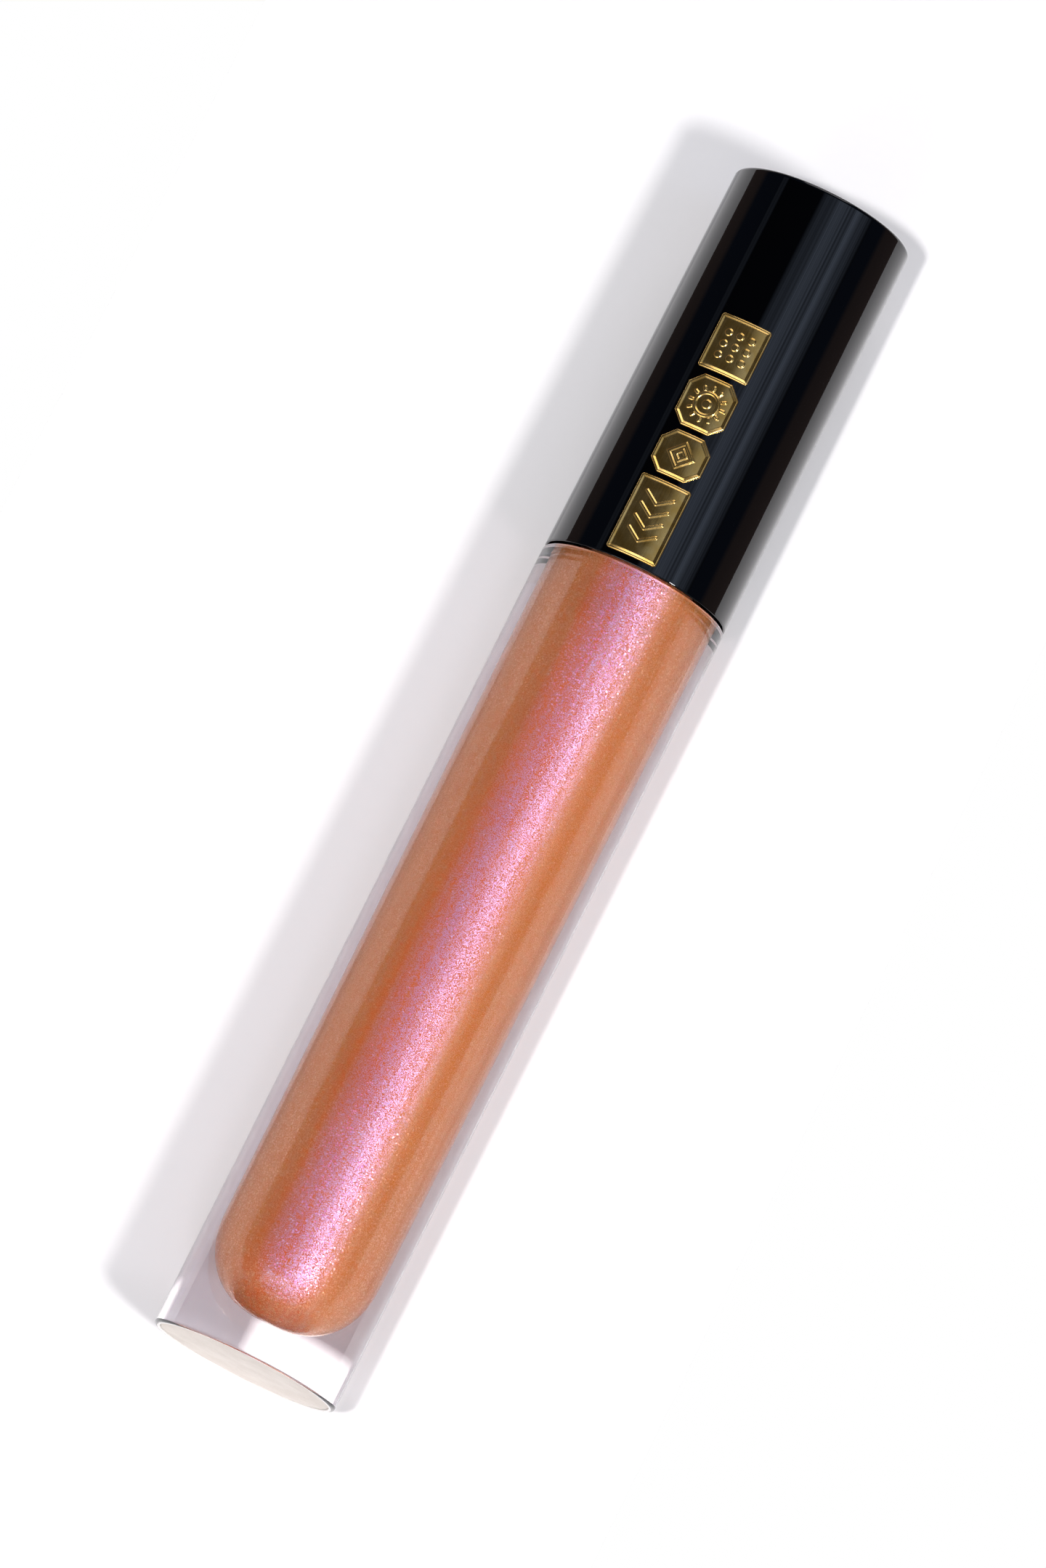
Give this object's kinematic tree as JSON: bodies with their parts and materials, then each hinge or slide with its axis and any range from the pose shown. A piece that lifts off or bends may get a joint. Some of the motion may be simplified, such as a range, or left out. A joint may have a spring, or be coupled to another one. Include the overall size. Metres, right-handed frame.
{
  "type": "lip gloss tube",
  "caption": "Slim round lip gloss tube: thick clear bottle with a rounded reservoir of pearly gloss, tall glossy black screw cap with gold plates, wand and doe-foot tip.",
  "frame": {"origin": "centre of the base, on the surface that the tube stands on", "axes": "+Z along the tube's axis, from the base to the closed end of the cap; -Y is the side that the gold plates face"},
  "size_m": [0.0176, 0.0177, 0.1145],
  "materials": {
    "clear_wall": "clear polished moulded plastic",
    "label_paper": "plain cream label, nothing printed on it",
    "gloss": "pearly copper liquid with pink shimmer",
    "wiper_plastic": "soft natural moulding",
    "seal_foam": "foamed liner",
    "insert_plastic": "satin black moulding",
    "cap_black": "high gloss black",
    "wand_plastic": "satin black rod",
    "tip_plastic": "soft tip core",
    "flock": "short flock fibre, wet with gloss",
    "plate_gold": "polished gold-coloured plate"
  },
  "bodies": {
    "bottle": {"bottle": "clear_wall", "base_label": "label_paper", "gloss_fill": "gloss", "wiper": "wiper_plastic"},
    "seal": {"cap_seal": "seal_foam"},
    "cap": {"outer_cap": "cap_black", "inner_cap": "insert_plastic", "wand_rod": "wand_plastic", "applicator_core": "tip_plastic", "applicator_flocking": "flock", "plate_chevrons": "plate_gold", "plate_diamond": "plate_gold", "plate_ring": "plate_gold", "plate_studs": "plate_gold"}
  },
  "joints": [
    {"name": "cap_lift", "type": "slide", "parent": "bottle", "child": "seal", "axis": [0, 0, 1], "range_m": [0, 0.088]},
    {"name": "cap_twist", "type": "hinge", "parent": "seal", "child": "cap", "pos_m": [0, 0, 0.0896], "axis": [0, 0, 1], "range_deg": [0, 450]}
  ]
}
